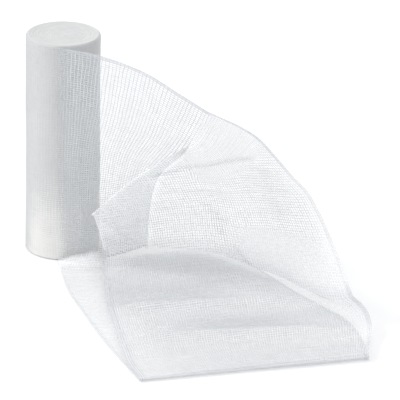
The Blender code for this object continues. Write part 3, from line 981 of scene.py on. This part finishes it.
def tail_grid(w):
    """The layer beneath, back to the cut end. The end's height fades with the way left to it."""
    cut = along(CUT_END, w)
    q = np.linspace(0, 1, TAIL + 1)
    plan = patch(front_line(w), cut[:, :2], along(TAIL_INNER, q), along(TAIL_OUTER, q), q, w)
    left_over = walked_to(plan[::-1])[::-1]
    curl = np.maximum(cut[:, 2] - LYING, 0)
    z = LYING + curl * np.exp(-((left_over / CURL_REACH) ** 1.4))
    return with_height(plan, z)[1:]


fold, tail = fold_grid(lying[-1], w), tail_grid(w)
print("fold columns", len(fold), "tail columns", len(tail))

# %% [markdown]
# ## Where each point lies in the cloth
# The weave follows the cloth, so each point needs its place in the strip: how far across and how far along,
# in millimetres. Across is the share of the rows. Along could be the way walked everywhere, but the pull on
# the cloth slants its wefts, and they were measured to run differently in each part: parallel to the
# columns in the fan, rising to the right in the wall, and parallel to the front fold on the table.

# %% Places in the fan and the pleat
evenly_across = STRIP_WIDTH * w

first = np.concatenate([turns, fan, pleat])
settled = np.concatenate([np.zeros(len(turns) + len(fan)), np.linspace(0, 1, len(pleat))])[:, None]
first_across = STRIP_WIDTH * roll_side(w) * (1 - settled) + evenly_across * settled
first_along = np.repeat(walked_to(first).mean(1)[:, None], ROWS, 1)
first_along[-len(pleat) :] = first_along[-len(pleat) - 1] + walked_to(np.concatenate([fan[-1:], pleat]))[1:]
print("along at the seam, mm", first_along[-1, [0, -1]].round(1))

# %% Places in the wall
SLANT_AFTER = 24  # mm past the seam, where the wefts have turned from the columns to their slant
WEFT_RISE = 0.11  # for each mm to the right
WEFT_CURVE, CURVE_FROM = 0.0017, 50.0  # how fast the rise grows, and from how many mm on

wall_all = np.concatenate([pleat[-1:], wall])
run = wall_all[..., 0] * 0.86 - wall_all[..., 1] * 0.5
rise = WEFT_RISE * run + WEFT_CURVE * np.maximum(run - CURVE_FROM, 0) ** 2
own = walked_to(wall_all)
slanted = np.maximum(ease(0, SLANT_AFTER, own), 1 - ease(APEX - 0.02, APEX + 0.06, w))
high_row = int(0.8 * ROWS)
middle = wall_all[0, high_row, 2] - rise[0, high_row]
wall_slant = first_along[-1].max() + 0.5 * SLANT_AFTER + middle - wall_all[..., 2] + rise
wall_along = (1 - slanted) * (first_along[-1] + own) + slanted * wall_slant
print("along at the wall's foot, mm", wall_along[-1, [0, -1]].round(1))

# %% Places on the table, and all of them together
FOLD_ALONG = 800.0  # mm, where along the strip the front fold is counted to lie

parts = dict(turns=turns, fan=fan, pleat=pleat, wall=wall, lying=lying, fold=fold, tail=tail)
whole = np.concatenate(list(parts.values()))
beneath = np.concatenate([lying[-1:], fold, tail])
beneath_along = FOLD_ALONG + np.repeat(walked_to(beneath).mean(1)[:, None], ROWS, 1)


def even_corners(along_it):
    """Corner UVs of a part in which the rows share the strip's width evenly."""
    return corners(np.broadcast_to(evenly_across, along_it.shape), along_it)


on_table = [even_corners(FOLD_ALONG - to_go), even_corners(beneath_along)]
cloth_uv = np.concatenate([corners(first_across, first_along), even_corners(wall_along), *on_table])
print("strip drawn off, mm", round(float(walked_to(whole)[-1].mean()), 1), "UV faces", cloth_uv.shape[:2])

# %% [markdown]
# ## How much of the cloth shows
# The turn on the roll is the same cloth as the wound roll's own finish, so the strip fades in where it
# leaves the roll. Above 1 the value shown stands for meshes that are drawn together: along the sharpest
# crease, low down on the wall and at the curled end. Below 1 it lets the outer selvedge fade against the
# bright ground.

# %% Where each part's columns are
bounds = np.cumsum([0] + [len(part) for part in parts.values()])
at = {name: slice(a, b) for name, a, b in zip(parts, bounds, bounds[1:])}
tail_end = slice(at["tail"].start - 1, None)
to_end = walked_to(whole[tail_end][::-1])[::-1].mean(1)[:, None]
print("first columns", {name: int(part.start) for name, part in at.items()})

# %% What shows
down = np.linspace(0, 1, len(wall))[:, None]
lower_edge = ease(0.94, 1.0, w) * ease(0.25, 0.5, down)
smooth_part = ease(0.74, 0.82, down) * ease(0.55, 0.68, w)

shown = np.ones(whole.shape[:2])
shown[at["turns"]] = 0.0
shown[at["fan"]] = ease(0.02, 0.17, np.linspace(0, 1, len(fan)))[:, None]
shown[at["wall"]] += 0.6 * np.maximum(creased - 0.75, 0) + 0.4 * smooth_part - 0.4 * lower_edge
shown[tail_end] += 0.45 * (1 - ease(3, 14, to_end)) * (1 - ease(0.35, 0.5, w))
print("shown from", shown.min(), "to", round(float(shown.max()), 2))

# %% Distance to the cut end
FAR_FROM_CUT = 50.0  # mm, as far as the finish looks

to_cut = np.full(whole.shape[:2], FAR_FROM_CUT)
to_cut[tail_end] = np.minimum(to_end, FAR_FROM_CUT)
print("columns near the cut end", int((to_cut[:, 0] < FAR_FROM_CUT).sum()))

# %% [markdown]
# ## How white the cloth looks: painted light and shade
# A shader at one point can't know how many layers lie behind it or where shade falls on it, and both make
# gauze look white or grey. So that light and shade is painted into the colour: worked out here for each part
# and kept in the mesh, where 0 is a single layer against shade and 1 is several layers in full light. The
# numbers were tuned against the picture.

# %% Whiteness of the hanging parts
# Painted shade on the fan, a single layer in front of the roll, and painted light on the pleat below its apex
painted_light = np.full(whole.shape[:2], 0.80)
share = np.linspace(0, 1, len(turns) + len(fan))[:, None]
painted_light[: len(share)] = 0.24 - 0.18 * ease(0.25, 0.5, share)
painted_light[at["pleat"]] = 1.0 - 0.84 * ease(APEX - 0.14, APEX + 0.04, w)

# Painted light where the pleat's layers lie behind the wall, and painted shade in a crease
crease_x = np.interp(wall[..., 2], [row[3] for row in BACK_CREASE[:4]], [row[1] for row in BACK_CREASE[:4]])
doubled_up = ease(-2.0, 0.5, crease_x - wall[..., 0]) * (1 - ease(APEX - 0.02, APEX + 0.02, w))
# Painted light and shade on the wall: lighter lower down, whiter with layers behind, greyer in the creases
wall_painted_light = 0.30 + 0.26 * ease(0.35, 1.0, down) + 0.75 * doubled_up - 0.9 * creased
# Painted shade across the upper middle rows half way down, painted light on the lower outer edge and smooth
# part
wall_painted_light -= 0.20 * ease(0.62, 0.85, w) * band(down, 0.2, 0.4, 0.7, 0.9)
wall_painted_light += (0.30 * lower_edge + 0.36 * smooth_part) * (1 - ease(0.94, 1.0, down))
painted_light[at["wall"]] = wall_painted_light
print("mean whiteness", {name: round(float(painted_light[at[name]].mean()), 2) for name in ("fan", "pleat", "wall")})

# %% Whiteness on the table
# Painted shade behind each ripple, on the side away from the front fold
RIPPLE_SHADES = (
    # how much painted shade behind the ripple, how far back, then where it starts, is full, fades and ends
    # across
    (0.30, 34.0, 0.00, 0.05, 0.34, 0.60),
    (0.50, 26.0, 0.14, 0.42, 0.60, 0.95),
)
DEEP_FROM = (73, 62)  # mm back from the front fold, at the left and the right, where the wall's shade begins

lying_painted_light = np.full(to_go.shape, 0.90)
for (left, right, *_), (grey, reach, *across) in zip(RIPPLES, RIPPLE_SHADES):
    past = to_go - (left + (right - left) * w)
    lying_painted_light -= grey * band(past, -1.0, 1.5, 0.5 * reach, reach) * band(w, *across)
# Painted shade where the wall's shade falls, at the right lip and near the front fold
deep = ease(-1.5, 2.0, to_go - (DEEP_FROM[0] + (DEEP_FROM[1] - DEEP_FROM[0]) * w)) * (1 - ease(0.4, 0.7, w))
left_strip = (1 - ease(0.06, 0.16, w)) * (1 - ease(50, 70, to_go))
inner_edge = 1 - ease(0.02, 0.035, w)
near_front = 1 - ease(8, 22, to_go)
right_lip = ease(0.72, 0.95, w) * (1 - ease(0.3, 0.62, np.linspace(0, 1, len(to_go))[:, None]))
# Painted light on the left strip, out of the shade, and darker along the inner selvedge
lying_painted_light += 0.06 * left_strip - 0.08 * deep - 0.45 * inner_edge - 0.45 * right_lip
lying_painted_light -= 0.12 * near_front * (ease(0.2, 0.4, w) + ease(0.7, 1.0, w))
painted_light[at["lying"]] = lying_painted_light[1:]
# Painted shadow: the front fold darker from its top down to the table
painted_light[at["fold"]] = np.linspace(0.85, 0.05, len(fold))[:, None]
# Painted light and shade on the tail: greyer past its lowest rows, lighter in its upper rows and near the cut
# end
painted_light[at["tail"]] = 0.80 - 0.26 * ease(0.14, 0.24, w) + 0.24 * ease(0.5, 0.85, w)
painted_light[at["tail"]] += 0.2 * (1 - ease(8, 25, to_cut[at["tail"]]))
print("mean whiteness", {name: round(float(painted_light[at[name]].mean()), 2) for name in ("lying", "fold", "tail")})

# %% [markdown]
# ## The loose piece
# Now the grid, its UVs and its three values make one mesh. It stands for the packed sheet and rides on the
# same body.

# %% The loose piece
kept_values = {"shown": shown, "to_cut": to_cut, "painted_light": painted_light}
gauze_piece = grid_piece("loose_gauze_strip", whole * MM, cloth_uv, OPEN_GAUZE, kept_values)
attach(gauze_piece, "root")
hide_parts("loose_end")

# %% [markdown]
# ## The table's finish
# A sheet of matt white card: nearly even, with a faint grain so that it is still a surface. One plain
# colour would do as well from this far, but a soft noise costs nothing.

# %% Card finish
CARD_GRAIN = 900.0  # grains in a metre


def card_finish():
    """Matt white card: soft noise between two whites that are close together."""
    material, skin, start = finish_of("white_card", sheen=0.0)
    where = start.node("ShaderNodeTexCoord", out="Object")
    grain = start.node("ShaderNodeTexNoise", Vector=where, Scale=CARD_GRAIN, Detail=2.0)
    feed(skin, Base_Color=grain.tint((0.0, (0.94, 0.94, 0.94)), (1.0, (0.97, 0.97, 0.97))))
    skin.inputs["Roughness"].default_value = 0.95
    return material


table_mesh.materials.append(card_finish())
print("table finish", table_mesh.materials[0].name)

# %% [markdown] The dressed model has to fill the same box as the packed
# one, give or take what cloth may stand proud.
